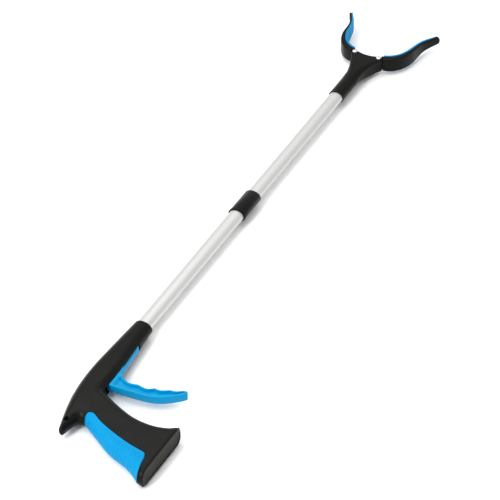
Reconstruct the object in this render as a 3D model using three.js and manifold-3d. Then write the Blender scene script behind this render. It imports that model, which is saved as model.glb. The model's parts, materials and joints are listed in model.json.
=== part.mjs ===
// Reacher grabber: a pistol handle with a trigger, a two-piece oval shaft and a pair of curved jaws.
//
// Millimetres. The tool lies on its side: +X runs along the shaft from the handle to the jaws, +Y is the
// back of the hand, the grip hangs towards -Y, and Z is the thickness. Every piece is drawn with the
// barrel mouth at x = 0 and the shaft on the line y = 0, z = 0. At the end the whole group is shifted so
// that its origin is the bottom centre of its bounding box.

import * as THREE from 'three';
import { mergeVertices } from 'three/addons/utils/BufferGeometryUtils.js';
import Module from 'manifold-3d';

const wasm = await Module();
wasm.setup();

// ---------------------------------------------------------------- driving dimensions

const GAP = 0.3; // clearance between two fitted pieces
const WALL = 2.4; // wall of the handle shells
const HANDLE_BEVEL = 2; // rounding of the shells' outer edges
const DEG = Math.PI / 180;

// Handle
const MOUTH_HALF_Y = 11.1; // outer size of the barrel at its mouth
const MOUTH_HALF_Z = 8.7;
const BARREL_HALF_Z = 11; // half thickness of the barrel above the grip
const GRIP_HALF_Z = 12.2; // half thickness at the grip's base
const NOSE_HALF_Z = 7.6;
const BASE_Y = -119.5; // plane of the grip's end face
const BASE_FRONT_X = -135;
const BASE_REAR_X = -217;
const CAP_DEPTH = 6;
const CAP_FLANGE = 1.7; // thickness of the base cap's rim, which closes the shells
const SHELL_END_Y = BASE_Y + CAP_FLANGE + GAP;
const HANG_HOLE = { x: -176, y: -4.5, radius: 3 };

// Shaft: oval tubes, [half width in Y, half height in Z]
const LOWER_OVAL = [8.8, 6.7];
const UPPER_OVAL = [8.3, 6.3];
const COLLAR_OVAL = [10.2, 7.7];
const NECK_OVAL = [9.4, 7.7];
const NECK_ROOM_OVAL = [7.8, 6.4];
const TUBE_WALL = 1.2;
const TUBE_REAR_X = -31;
const SHAFT_JOINT_X = 239; // the two tubes butt here, inside the collar
const COLLAR_LENGTH = 40.4;
const SLEEVE_LENGTH = 68;
const TUBE_FRONT_X = 497;
const ROD_RADIUS = 1.2;
const TUBE_PINS = { rear: [-17, 5], front: [482, 5] };

// Head and jaws
const NECK_X = 468.3;
const HEAD_HALF_Z = 8.7;
const HEAD_ROOM_HALF_Z = 6;
const PIVOT = { x: 548.7, y: 15.3 }; // jaw pivot, mirrored in Y for the other jaw
const JAW_CLOSE = 37.6; // degrees that each jaw turns
const JAW_HALF_Z = 8.2;
const JAW_TIP_HALF_Z = 4.2;
const PAD_THICKNESS = 2.2;
const RIVET_RADIUS = 1.5;

// Trigger and linkage
const TRIGGER_PIVOT = { x: -37, y: -10 };
const TRIGGER_TRAVEL = 20; // degrees
const TRIGGER_HALF_Z = 5;
const FORK_HALF_Z = 2.4; // slot between the trigger's two cheeks, for the rod
const CAM_PIN = { x: -56, y: 0, radius: 1.5, halfZ: 7.3 }; // at rest
const STROKE = 7; // travel of the pull rod

// A jaw's peg starts this far past square to the shaft, and its arm is as long as the stroke needs.
const PEG_LEAN = 16 * DEG;
const PEG_SWEEP = Math.sin(PEG_LEAN + JAW_CLOSE * DEG) - Math.sin(PEG_LEAN);
const PEG_ARM = STROKE / PEG_SWEEP;
const PEG = {
  x: PIVOT.x - PEG_ARM * Math.sin(PEG_LEAN),
  y: PIVOT.y - PEG_ARM * Math.cos(PEG_LEAN),
  radius: 1.4,
};

// ---------------------------------------------------------------- materials

const material = (color, roughness, metalness) =>
  new THREE.MeshStandardMaterial({ color, roughness, metalness });
const blackPlastic = () => material(0x262624, 0.45, 0);
const bluePlastic = () => material(0x12a5e6, 0.45, 0);
const blueRubber = () => material(0x12a0e0, 0.75, 0);
const whitePlastic = () => material(0xe6e6e0, 0.5, 0);
const aluminium = () => material(0xd6d7d3, 0.42, 0.85);
const steel = () => material(0xc9cbcd, 0.25, 1);

// ---------------------------------------------------------------- solids

function solidOf(geometry) {
  geometry.deleteAttribute('normal');
  geometry.deleteAttribute('uv');
  const merged = mergeVertices(geometry, 1e-4);
  const vertProperties = new Float32Array(merged.attributes.position.array);
  const triVerts = new Uint32Array(merged.index.array);
  return new wasm.Manifold(new wasm.Mesh({ numProp: 3, vertProperties, triVerts }));
}

function geometryOf(solid) {
  const { vertProperties, triVerts } = solid.getMesh();
  const geometry = new THREE.BufferGeometry();
  geometry.setAttribute('position', new THREE.BufferAttribute(vertProperties, 3));
  geometry.setIndex(new THREE.BufferAttribute(triVerts, 1));
  geometry.computeVertexNormals();
  return geometry;
}

const joined = (solids) => solids.reduce((whole, piece) => whole.add(piece));
const cut = (solid, tools) => tools.reduce((rest, tool) => rest.subtract(tool), solid);

const vectors = (pairs) => pairs.map(([x, y]) => new THREE.Vector2(x, y));
const mirrored = (points) => points.map((p) => new THREE.Vector2(p.x, -p.y)).reverse();

// A flat plate with an outline in XY, from zLow to zHigh, its edges rounded off inside the outline.
function plateGeometry(points, zLow, zHigh, bevel = 0) {
  const geometry = new THREE.ExtrudeGeometry(new THREE.Shape(points), {
    depth: zHigh - zLow - 2 * bevel,
    bevelEnabled: bevel > 0,
    bevelThickness: bevel,
    bevelSize: bevel,
    bevelOffset: -bevel,
    bevelSegments: 1,
  });
  return geometry.translate(0, 0, zLow + bevel);
}

const plate = (points, zLow, zHigh, bevel) => solidOf(plateGeometry(points, zLow, zHigh, bevel));

// Stretches a geometry in Z by a factor that depends on the place in XY.
function stretchZ(geometry, factor) {
  const { position } = geometry.attributes;
  for (let i = 0; i < position.count; i += 1) {
    position.setZ(i, position.getZ(i) * factor(position.getX(i), position.getY(i)));
  }
  return geometry;
}

function box(xLow, xHigh, yLow, yHigh, zLow, zHigh) {
  const geometry = new THREE.BoxGeometry(xHigh - xLow, yHigh - yLow, zHigh - zLow);
  return solidOf(geometry.translate((xLow + xHigh) / 2, (yLow + yHigh) / 2, (zLow + zHigh) / 2));
}

function roundPost(x, y, radius, zLow, zHigh, segments = 14) {
  const geometry = new THREE.CylinderGeometry(radius, radius, zHigh - zLow, segments);
  return solidOf(geometry.rotateX(Math.PI / 2).translate(x, y, (zLow + zHigh) / 2));
}

// A bar along X with an oval section.
function ovalBar([halfY, halfZ], xLow, xHigh, segments = 28) {
  const geometry = new THREE.CylinderGeometry(1, 1, xHigh - xLow, segments);
  geometry.rotateZ(-Math.PI / 2).scale(1, halfY, halfZ);
  return solidOf(geometry.translate((xLow + xHigh) / 2, 0, 0));
}

const grown = ([halfY, halfZ], by) => [halfY + by, halfZ + by];

const ovalTube = (outer, inner, xLow, xHigh) =>
  ovalBar(outer, xLow, xHigh).subtract(ovalBar(inner, xLow - 1, xHigh + 1));

// A rounded lever outline from one point to another, with a radius at each end.
function leverOutline(from, fromRadius, to, toRadius, steps = 5) {
  const heading = Math.atan2(to.y - from.y, to.x - from.x);
  const points = [];
  for (const [centre, radius, start] of [[from, fromRadius, 0.5], [to, toRadius, -0.5]]) {
    for (let i = 0; i <= steps; i += 1) {
      const angle = heading + Math.PI * (start + i / steps);
      const [across, up] = [radius * Math.cos(angle), radius * Math.sin(angle)];
      points.push(new THREE.Vector2(centre.x + across, centre.y + up));
    }
  }
  return points;
}

// Turns a point about a pivot; angles in degrees, anticlockwise seen from +Z.
function turned(point, pivot, degrees) {
  const p = new THREE.Vector2(point.x, point.y);
  return p.rotateAround(new THREE.Vector2(pivot.x, pivot.y), degrees * DEG);
}

// ---------------------------------------------------------------- handle

const smooth = (value, from, to) => {
  const t = THREE.MathUtils.clamp((value - from) / (to - from), 0, 1);
  return t * t * (3 - 2 * t);
};

// Half thickness of the handle: thin at the mouth and the nose, thick at the base of the grip.
function handleHalfZ(x, y) {
  const barrel = THREE.MathUtils.lerp(MOUTH_HALF_Z, BARREL_HALF_Z, smooth(x, 0, -95));
  const grip = (GRIP_HALF_Z - BARREL_HALF_Z) * smooth(y, -20, BASE_Y);
  const nose = (BARREL_HALF_Z - NOSE_HALF_Z) * smooth(x, -148, -190) * smooth(y, -24, -12);
  return barrel + grip - nose;
}

// The side view of the handle: barrel top, nose, back of the grip, base, front of the grip, underside.
function handleOutline() {
  const barrelCentreY = -0.85;
  const outline = new THREE.Shape();
  outline.moveTo(0, barrelCentreY - MOUTH_HALF_Y);
  outline.lineTo(0, barrelCentreY + MOUTH_HALF_Y);
  outline.splineThru(vectors([[-45, 12.7], [-95, 14.1], [-132, 11.3], [-160, 5.8], [-186, -2.3]]));
  outline.absarc(-187.2, -5.4, 3.3, 70 * DEG, 255 * DEG);
  outline.splineThru(vectors([[-176, -10.8], [-166.5, -14], [-165.5, -21]]));
  outline.splineThru(vectors([[-178, -41], [-192, -63], [-201, -86], [-208, -100], [BASE_REAR_X, -113]]));
  outline.lineTo(BASE_REAR_X, SHELL_END_Y);
  outline.lineTo(BASE_FRONT_X, SHELL_END_Y);
  outline.lineTo(BASE_FRONT_X, -113.6);
  outline.splineThru(vectors([
    [-140.2, -106], [-144, -90], [-142, -68], [-134, -45], [-125, -25], [-117, -18.5],
  ]));
  outline.lineTo(-113.5, -17);
  outline.lineTo(-80, -16.8);
  outline.lineTo(-37, -14.2);
  return outline.getPoints(2);
}

function outerHandle(growth = 0) {
  const meanHalfZ = 10;
  const geometry = plateGeometry(handleOutline(), -meanHalfZ, meanHalfZ, HANDLE_BEVEL);
  return solidOf(stretchZ(geometry, (x, y) => (handleHalfZ(x, y) + growth) / meanHalfZ));
}

// Room for the linkage in the barrel, and a plainer hollow down the grip.
function handleHollow() {
  const barrelRoom = vectors([
    [TUBE_REAR_X - 2, 8.6], [-60, 10.4], [-95, 11.5], [-130, 8.6], [-146, 4], [-150, -6], [-146, -20],
    [-124, -20], [-113.5, -13], [-44, -12], [TUBE_REAR_X - 2, -8],
  ]);
  const gripRoom = vectors([
    [-124, -14], [-152, -14], [-160, -34], [-177, -62], [-188, -92], [-197, -109], [-197, BASE_Y - 1],
    [-144, BASE_Y - 1], [-149, -106], [-150, -88], [-148, -70], [-140, -46],
  ]);
  const roomHalfZ = (x, y) => handleHalfZ(x, y) - WALL;
  const barrelSolid = stretchZ(plateGeometry(barrelRoom.reverse(), -1, 1), roomHalfZ);
  return solidOf(barrelSolid).add(plate(gripRoom, -6.6, 6.6));
}

const HANDLE_SCREWS = [[-77, 7.6], [-124, 0], [-140.5, -34], [-153, -66], [-155, -98]];
const BOSS_RADIUS = 3.2;
const SCREW = { radius: 1.3, headRadius: 2.7, headHeight: 1.8, length: 13 };
const screwHeadZ = ([x, y]) => 1.2 - handleHalfZ(x, y); // outer face of the sunk screw head

// Boundary of the soft pad on the side of the grip; the pad wraps round the grip's back from here.
function padOutline(growth) {
  const backX = BASE_REAR_X - 10;
  const outline = new THREE.Shape();
  outline.moveTo(backX, -112.6 - growth);
  outline.lineTo(-205, -110.4 - growth);
  outline.splineThru(vectors([[-194.5 + growth, -108 - growth], [-189.5 + growth, -102]]));
  outline.splineThru(vectors([[-183.5 + growth, -84], [-174.5 + growth, -62], [-164.5 + growth, -41]]));
  outline.splineThru(vectors([
    [-157 + growth, -29], [-157.5 + growth, -23 + growth], [-163, -20.5 + growth],
  ]));
  outline.lineTo(backX, -20.5 + growth);
  return outline.getPoints(2);
}

const PAD_DEPTH = 1.9; // how deep the pad sits in the grip
const PAD_RISE = 0.5; // how far it stands proud on the sides

// The core of the grip that the pad is wrapped on: the handle pulled in from the back and the sides.
function padCore(depth) {
  const meanHalfZ = 10;
  const pulledIn = plateGeometry(handleOutline(), -meanHalfZ, meanHalfZ, HANDLE_BEVEL).translate(depth, 0, 0);
  return solidOf(stretchZ(pulledIn, (x, y) => (handleHalfZ(x, y) - depth) / meanHalfZ));
}

function handleBody() {
  const padSeat = plate(padOutline(GAP), -20, 20).subtract(padCore(PAD_DEPTH + GAP));
  const seatHalfZ = GRIP_HALF_Z - 3.2;
  const seatDepth = CAP_DEPTH + GAP;
  const baseSeat = box(
    BASE_REAR_X + 3.2, BASE_FRONT_X - 3.2, BASE_Y, BASE_Y + seatDepth, -seatHalfZ, seatHalfZ,
  );
  const bosses = HANDLE_SCREWS.map(([x, y]) => roundPost(x, y, BOSS_RADIUS, -9, 9));
  const pivotBoss = roundPost(TRIGGER_PIVOT.x, TRIGGER_PIVOT.y, 4.2, -9, 9);
  // Two ribs on each side keep the rod's cross pin on the shaft's line.
  const rails = [-1, 1].flatMap((side) => [
    box(-70, -48, 1.9, 3.6, side * 7.4 - 2, side * 7.4 + 2),
    box(-70, -48, -3.6, -1.9, side * 7.4 - 2, side * 7.4 + 2),
  ]);
  const hollow = cut(handleHollow(), [...bosses, ...rails, pivotBoss]);
  const triggerSlot = [
    [-32.5, -6], [-46, -6], [-113.5, -7], [-113.5, -30], [-60, -30], [-32.5, -22],
  ];
  return cut(outerHandle(), [
    hollow,
    padSeat,
    baseSeat,
    plate(vectors(triggerSlot), -TRIGGER_HALF_Z - 0.4, TRIGGER_HALF_Z + 0.4),
    ovalBar(grown(LOWER_OVAL, GAP), TUBE_REAR_X - 3, 5),
    roundPost(HANG_HOLE.x, HANG_HOLE.y, HANG_HOLE.radius, -20, 20),
    roundPost(TRIGGER_PIVOT.x, TRIGGER_PIVOT.y, 1.8, -7, 7),
    roundPost(...TUBE_PINS.rear, 1.6, -6.9, 6.9 + 1),
  ]);
}

function handleShell(side) {
  const half = side > 0 ? box(-260, 30, -160, 60, GAP / 2, 40) : box(-260, 30, -160, 60, -40, -GAP / 2);
  const screwHoles = HANDLE_SCREWS.flatMap(([x, y]) => {
    const headZ = screwHeadZ([x, y]);
    return [
      roundPost(x, y, SCREW.radius + GAP, headZ, headZ + SCREW.length + GAP),
      roundPost(x, y, SCREW.headRadius + GAP, -20, headZ + SCREW.headHeight + GAP),
    ];
  });
  return cut(handleBody().intersect(half), screwHoles);
}

function gripPad() {
  const band = plate(padOutline(0), -20, 20);
  const outer = outerHandle(PAD_RISE);
  return band.intersect(outer).subtract(padCore(PAD_DEPTH));
}

function baseCap() {
  const inset = 3.5;
  const flange = box(
    BASE_REAR_X, BASE_FRONT_X, BASE_Y, BASE_Y + CAP_FLANGE, 0.6 - GRIP_HALF_Z, GRIP_HALF_Z - 0.6,
  );
  const plugHalfZ = GRIP_HALF_Z - inset;
  const plug = box(
    BASE_REAR_X + inset, BASE_FRONT_X - inset, BASE_Y + 0.5, BASE_Y + CAP_DEPTH, -plugHalfZ, plugHalfZ,
  );
  return flange.add(plug);
}

function handleScrew([x, y]) {
  const headZ = screwHeadZ([x, y]);
  const head = roundPost(x, y, SCREW.headRadius, headZ, headZ + SCREW.headHeight);
  const driveSlot = box(x - 2, x + 2, y - 0.4, y + 0.4, headZ - 1, headZ + 0.7);
  return head.add(roundPost(x, y, SCREW.radius, headZ, headZ + SCREW.length, 10)).subtract(driveSlot);
}

// ---------------------------------------------------------------- trigger and linkage

// The rod's cross pin slides straight back while the trigger turns. This is the line it draws on the
// turning trigger, so a slot along it makes the rod follow the trigger at one constant ratio.
function camPath(steps = 5) {
  const points = [];
  for (let i = 0; i <= steps; i += 1) {
    const pin = { x: CAM_PIN.x - (STROKE * i) / steps, y: CAM_PIN.y };
    points.push(turned(pin, TRIGGER_PIVOT, (TRIGGER_TRAVEL * i) / steps));
  }
  return points;
}

// An outline at a constant distance round an open line, with round ends.
function slotOutline(path, radius, endSteps = 5) {
  const last = path.length - 1;
  const headings = path.map((p, i) => {
    const ahead = path[Math.min(i + 1, last)].clone().sub(path[Math.max(i - 1, 0)]);
    return ahead.angle();
  });
  const offset = (i, angle) =>
    new THREE.Vector2(Math.cos(angle), Math.sin(angle)).multiplyScalar(radius).add(path[i]);
  const outline = [];
  for (let i = 0; i <= last; i += 1) outline.push(offset(i, headings[i] - Math.PI / 2));
  for (let k = 1; k < endSteps; k += 1) {
    outline.push(offset(last, headings[last] + Math.PI * (k / endSteps - 0.5)));
  }
  for (let i = last; i >= 0; i -= 1) outline.push(offset(i, headings[i] + Math.PI / 2));
  for (let k = 1; k < endSteps; k += 1) {
    outline.push(offset(0, headings[0] + Math.PI * (k / endSteps + 0.5)));
  }
  return outline;
}

// Side view of the trigger: the arm along the barrel, then the finger part with its scalloped front.
function triggerOutline() {
  const hub = 3.4;
  const outline = new THREE.Shape();
  outline.moveTo(TRIGGER_PIVOT.x, TRIGGER_PIVOT.y - hub);
  outline.absarc(TRIGGER_PIVOT.x, TRIGGER_PIVOT.y, hub, -Math.PI / 2, Math.PI / 2);
  outline.lineTo(-104.5, -13.5);
  outline.lineTo(-105, -17);
  outline.splineThru(vectors([[-104.6, -42], [-102.8, -64], [-96.5, -80], [-84.5, -94.5]]));
  outline.splineThru(vectors([[-80.5, -97.3], [-77.6, -95.8], [-78, -91.5]]));
  outline.splineThru(vectors([[-82.5, -84.5], [-83, -79]]));
  outline.splineThru(vectors([[-88.2, -69.5], [-87.8, -62.5]]));
  outline.splineThru(vectors([[-92.4, -55], [-90.6, -44.5]]));
  outline.splineThru(vectors([[-92.2, -33], [-85, -20.5], [-75, -17]]));
  return outline.getPoints(2);
}

function trigger() {
  const camPlate = vectors([
    [-48, -12], [-52, -2], [-53.4, 2.6], [-56, 3.9], [-59, 3.2], [-69, -6.5], [-72, -14],
  ]);
  const body = joined([
    plate(triggerOutline(), -TRIGGER_HALF_Z, TRIGGER_HALF_Z, 1),
    plate(camPlate.reverse(), -TRIGGER_HALF_Z, TRIGGER_HALF_Z),
  ]);
  return cut(body, [
    box(-77, -46, -14.2, 10, -FORK_HALF_Z, FORK_HALF_Z),
    plate(slotOutline(camPath(), CAM_PIN.radius + 0.25), -10, 10),
    roundPost(TRIGGER_PIVOT.x, TRIGGER_PIVOT.y, 1.8, -10, 10),
  ]);
}

// Fitting crimped on the rod's rear end, with an eye for the cross pin.
const ROD_END = {
  rear: CAM_PIN.x - 3.6, front: CAM_PIN.x + 11, halfZ: 2, halfY: 2.6, crimpX: CAM_PIN.x + 3,
};

function rodEnd() {
  const { rear, front, halfY, halfZ } = ROD_END;
  const body = box(rear, front, -halfY, halfY, -halfZ, halfZ);
  return cut(body, [
    roundPost(CAM_PIN.x, CAM_PIN.y, CAM_PIN.radius + 0.2, -5, 5),
    ovalBar([ROD_RADIUS + GAP, ROD_RADIUS + GAP], ROD_END.crimpX, front + 1, 12),
  ]);
}

// ---------------------------------------------------------------- head and jaws

// The Y-shaped side of the head, as the half above the centre line.
function headHalfOutline() {
  const outline = new THREE.Path();
  outline.moveTo(512, 5.6);
  outline.splineThru(vectors([[521, 8.9], [531, 12.2], [540, 16], [547, 20.8]]));
  outline.splineThru(vectors([
    [549.6, 21.4], [551.7, 19.5], [552.2, 16], [551.2, 11.5], [549.6, 5], [549.3, 0],
  ]));
  return outline.getPoints(2);
}

function headBody() {
  const half = headHalfOutline();
  const outline = [...half, ...mirrored(half).slice(1)].reverse();
  const room = vectors([
    [516, 5.4], [521, 7.4], [531, 10.6], [540.7, 14.8], [547.9, 19.6], [548.7, 30], [565, 30], [565, 0],
  ]);
  const roomOutline = [...room, ...mirrored(room).slice(1)].reverse();
  const body = ovalBar(NECK_OVAL, NECK_X, 528).add(plate(outline, -HEAD_HALF_Z, HEAD_HALF_Z, 1.6));
  return cut(body, [
    plate(roomOutline, -HEAD_ROOM_HALF_Z, HEAD_ROOM_HALF_Z),
    ovalBar(grown(UPPER_OVAL, GAP), NECK_X - 1, TUBE_FRONT_X + GAP),
    ovalBar(NECK_ROOM_OVAL, TUBE_FRONT_X - 1, 528),
    roundPost(...TUBE_PINS.front, 1.6, -6.9, 7.4),
    roundPost(PIVOT.x, PIVOT.y, RIVET_RADIUS + GAP, -20, 20),
    roundPost(PIVOT.x, -PIVOT.y, RIVET_RADIUS + GAP, -20, 20),
  ]);
}

function headShell(side) {
  const half = side > 0 ? box(440, 580, -60, 60, GAP / 2, 20) : box(440, 580, -60, 60, -20, -GAP / 2);
  return headBody().intersect(half);
}

// A rivet with a domed head on each side of the head shells.
function pivotRivet(side) {
  const seatZ = HEAD_HALF_Z + 0.2;
  const domeRadius = 3;
  const domeHeight = 1.3;
  const profile = [new THREE.Vector2(0, -seatZ - domeHeight)];
  for (const angle of [60, 30, 0]) {
    profile.push(new THREE.Vector2(
      domeRadius * Math.cos(angle * DEG), -seatZ - domeHeight * Math.sin(angle * DEG),
    ));
  }
  profile.push(new THREE.Vector2(RIVET_RADIUS, -seatZ));
  const upper = profile.map((p) => new THREE.Vector2(p.x, -p.y)).reverse();
  const geometry = new THREE.LatheGeometry([...profile, ...upper], 14);
  return solidOf(geometry.rotateX(Math.PI / 2).translate(PIVOT.x, side * PIVOT.y, 0));
}

// The line between a jaw's blade and its soft pad, from beside the pivot to the tip.
const jawLine = new THREE.SplineCurve(vectors([
  [553.2, 14.6], [555, 22], [559, 29.3], [566.5, 36.3], [578, 41.4], [591, 43.8], [602, 46], [612, 50.2],
  [621.6, 55.4],
]));

// A band along the jaw line between two offsets; positive is outwards. The offsets vary along it.
function jawBand(innerOffset, outerOffset, start, end, steps = 16) {
  const inner = [];
  const outer = [];
  for (let i = 0; i <= steps; i += 1) {
    const s = THREE.MathUtils.lerp(start, end, i / steps);
    const point = jawLine.getPoint(s);
    const tangent = jawLine.getTangent(s);
    const normal = new THREE.Vector2(-tangent.y, tangent.x);
    inner.push(point.clone().addScaledVector(normal, innerOffset(s)));
    outer.push(point.clone().addScaledVector(normal, outerOffset(s)));
  }
  return [...inner, ...outer.reverse()];
}

const bladeThickness = (s) => 2.7 + 2.9 * (1 - smooth(s, 0, 0.55));

const jawHalfZ = (x) => THREE.MathUtils.lerp(JAW_HALF_Z, JAW_TIP_HALF_Z, smooth(x, 574, 626));

function jaw() {
  const bladeOutline = jawBand(() => 0, bladeThickness, 0.1, 1);
  const tip = jawLine.getPoint(1);
  const tipTangent = jawLine.getTangent(1);
  const tipNormal = new THREE.Vector2(-tipTangent.y, tipTangent.x);
  const round = tip.clone().addScaledVector(tipNormal, 1.35).addScaledVector(tipTangent, 1.2);
  const edge = bladeOutline.length / 2;
  const blade = [...bladeOutline.slice(0, edge), round, ...bladeOutline.slice(edge)];
  const rootRoom = roundPost(PIVOT.x, PIVOT.y, 7.3, -20, 20, 32);
  const bladeSolid = solidOf(stretchZ(plateGeometry(blade, -1, 1), (x) => jawHalfZ(x)));
  const knuckleHalfZ = HEAD_ROOM_HALF_Z - 0.4;
  const bridge = vectors([
    [548.7, 17.5], [548.7, 12], [551.8, 12.6], [552.8, 15], [554.2, 21], [557, 26.5], [551.5, 24.6],
  ]);
  const body = joined([
    bladeSolid.subtract(rootRoom),
    plate(bridge, -knuckleHalfZ, knuckleHalfZ),
    roundPost(PIVOT.x, PIVOT.y, 3.7, -knuckleHalfZ, knuckleHalfZ),
    plate(leverOutline(PIVOT, 3.6, PEG, 2.3), -3, 3),
  ]);
  return cut(body, [
    roundPost(PIVOT.x, PIVOT.y, RIVET_RADIUS + GAP, -20, 20),
    roundPost(PEG.x, PEG.y, PEG.radius + 0.2, -20, 20),
  ]);
}

function jawPad() {
  const outline = jawBand(() => -GAP - PAD_THICKNESS, () => -GAP, 0.06, 1);
  return solidOf(stretchZ(plateGeometry(outline, -1, 1), (x) => jawHalfZ(x) - 0.3));
}

const YOKE = { rear: 521.5, web: 529.5, halfY: 10.3, plateLow: 3.4, plateHigh: 4.9 };

function yoke() {
  const slotRear = PEG.x - PEG.radius - 0.65;
  const slotFront = PEG.x + PEG.radius + 0.25;
  const front = slotFront + 1.5;
  const half = vectors([
    [YOKE.rear, 4.2], [531, 4.8], [538, 8.6], [541, YOKE.halfY], [front, YOKE.halfY], [front, 0],
  ]);
  const outline = [...half, ...mirrored(half).slice(1)].reverse();
  return cut(plate(outline, -YOKE.plateHigh, YOKE.plateHigh), [
    box(YOKE.web, front + 1, -20, 20, -YOKE.plateLow, YOKE.plateLow),
    box(slotRear, slotFront, 0.9, 9.2, -10, 10),
    box(slotRear, slotFront, -9.2, -0.9, -10, 10),
    ovalBar([ROD_RADIUS + GAP, ROD_RADIUS + GAP], YOKE.rear - 1, YOKE.web - 1.5, 16),
  ]);
}

// ---------------------------------------------------------------- return spring

class Helix extends THREE.Curve {
  constructor(radius, xLow, xHigh, turns) {
    super();
    Object.assign(this, { radius, xLow, xHigh, turns });
  }

  getPoint(t, target = new THREE.Vector3()) {
    const angle = 2 * Math.PI * this.turns * t;
    const x = THREE.MathUtils.lerp(this.xLow, this.xHigh, t);
    return target.set(x, this.radius * Math.cos(angle), this.radius * Math.sin(angle));
  }
}

function returnSpring() {
  const wire = 0.5;
  const turns = 6;
  const section = new THREE.Shape().absarc(0, 0, wire, 0, 2 * Math.PI);
  const path = new Helix(3.6, TUBE_FRONT_X + 2.2, YOKE.rear - 0.9, turns);
  return new THREE.ExtrudeGeometry(section, {
    steps: turns * 10, curveSegments: 3, bevelEnabled: false, extrudePath: path,
  });
}

// ---------------------------------------------------------------- assembly

const tool = new THREE.Group();

function addMesh(name, shape, look, parent = tool) {
  const geometry = shape instanceof THREE.BufferGeometry ? shape : geometryOf(shape);
  const mesh = new THREE.Mesh(geometry, look);
  mesh.name = name;
  parent.add(mesh);
  return mesh;
}

function addHandle() {
  const handle = new THREE.Group();
  tool.add(handle);
  addMesh('handle_shell_right', handleShell(1), blackPlastic(), handle);
  addMesh('handle_shell_left', handleShell(-1), blackPlastic(), handle);
  addMesh('grip_pad', gripPad(), blueRubber(), handle);
  addMesh('base_cap', baseCap(), blackPlastic(), handle);
  HANDLE_SCREWS.forEach((place, i) => {
    addMesh(`handle_screw_${i + 1}`, handleScrew(place), steel(), handle);
  });
  addMesh('trigger_pin', roundPost(TRIGGER_PIVOT.x, TRIGGER_PIVOT.y, 1.5, -6.7, 6.7), steel(), handle);
  addMesh('tube_pin_rear', roundPost(...TUBE_PINS.rear, 1.25, -6.6, 6.6), steel(), handle);
}

function addLinkage() {
  const linkage = new THREE.Group();
  tool.add(linkage);
  addMesh('trigger', trigger(), bluePlastic(), linkage);
  const { x, y, radius, halfZ } = CAM_PIN;
  addMesh('cam_pin', roundPost(x, y, radius, -halfZ, halfZ), steel(), linkage);
  addMesh('rod_end', rodEnd(), whitePlastic(), linkage);
  const rod = ovalBar([ROD_RADIUS, ROD_RADIUS], ROD_END.crimpX + GAP, YOKE.web - 1.5 - GAP, 12);
  addMesh('pull_rod', rod, steel(), linkage);
}

function addShaft() {
  const shaft = new THREE.Group();
  tool.add(shaft);
  const pinBore = (place) => roundPost(...place, 1.55, -20, 20);
  const lower = ovalTube(LOWER_OVAL, grown(LOWER_OVAL, -TUBE_WALL), TUBE_REAR_X, SHAFT_JOINT_X);
  const upper = ovalTube(UPPER_OVAL, grown(UPPER_OVAL, -TUBE_WALL), SHAFT_JOINT_X + GAP, TUBE_FRONT_X);
  addMesh('lower_tube', lower.subtract(pinBore(TUBE_PINS.rear)), aluminium(), shaft);
  addMesh('upper_tube', upper.subtract(pinBore(TUBE_PINS.front)), aluminium(), shaft);
  const collarX = SHAFT_JOINT_X - COLLAR_LENGTH / 2;
  const collar = ovalTube(COLLAR_OVAL, grown(LOWER_OVAL, GAP), collarX, collarX + COLLAR_LENGTH);
  addMesh('mid_collar', collar, blackPlastic(), shaft);
  const sleeveOval = grown(UPPER_OVAL, -TUBE_WALL - GAP);
  const sleeveX = SHAFT_JOINT_X - SLEEVE_LENGTH / 2;
  const sleeve = ovalTube(sleeveOval, grown(sleeveOval, -1.3), sleeveX, sleeveX + SLEEVE_LENGTH);
  addMesh('coupling_sleeve', sleeve, blackPlastic(), shaft);
  const guideHole = [ROD_RADIUS + 0.4, ROD_RADIUS + 0.4];
  const rodGuide = (oval, x) => ovalTube(grown(oval, -TUBE_WALL - GAP), guideHole, x, x + 8);
  addMesh('rod_guide_lower', rodGuide(LOWER_OVAL, 90), whitePlastic(), shaft);
  addMesh('rod_guide_upper', rodGuide(UPPER_OVAL, 380), whitePlastic(), shaft);
  addMesh('tube_pin_front', roundPost(...TUBE_PINS.front, 1.25, -6.6, 6.6), steel(), shaft);
}

function addHead() {
  const head = new THREE.Group();
  tool.add(head);
  addMesh('head_shell_top', headShell(1), blackPlastic(), head);
  addMesh('head_shell_bottom', headShell(-1), blackPlastic(), head);
  const rodHole = [ROD_RADIUS + 0.4, ROD_RADIUS + 0.4];
  const washer = ovalTube([5.6, 5], rodHole, TUBE_FRONT_X + GAP, TUBE_FRONT_X + 1.3);
  addMesh('spring_washer', washer, steel(), head);
  addMesh('return_spring', returnSpring(), steel(), head);
  addMesh('yoke', yoke(), whitePlastic(), head);
  for (const [name, side] of [['left', 1], ['right', -1]]) {
    const mirror = (solid) => (side > 0 ? solid : solid.mirror([0, 1, 0]));
    addMesh(`jaw_${name}`, mirror(jaw()), blackPlastic(), head);
    addMesh(`jaw_pad_${name}`, mirror(jawPad()), blueRubber(), head);
    addMesh(`jaw_peg_${name}`, roundPost(PEG.x, side * PEG.y, PEG.radius, -5.7, 5.7), steel(), head);
    addMesh(`pivot_rivet_${name}`, pivotRivet(side), steel(), head);
  }
}

addHandle();
addLinkage();
addShaft();
addHead();

const bounds = new THREE.Box3().setFromObject(tool);
const centre = bounds.getCenter(new THREE.Vector3());
tool.position.set(-centre.x, -centre.y, -bounds.min.z);

export default tool;
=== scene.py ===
"""Reacher grabber: the looks of the tool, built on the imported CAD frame.

Every refined piece is drawn in the tool's own millimetres, with the barrel mouth at x = 0 and the shaft's
axis on y = 0, z = 0, and is then placed on the CAD frame in metres.
"""

import json
import math

import bmesh
import bpy
import numpy as np
from mathutils import Matrix, Vector
from mathutils.geometry import delaunay_2d_cdt

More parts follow.
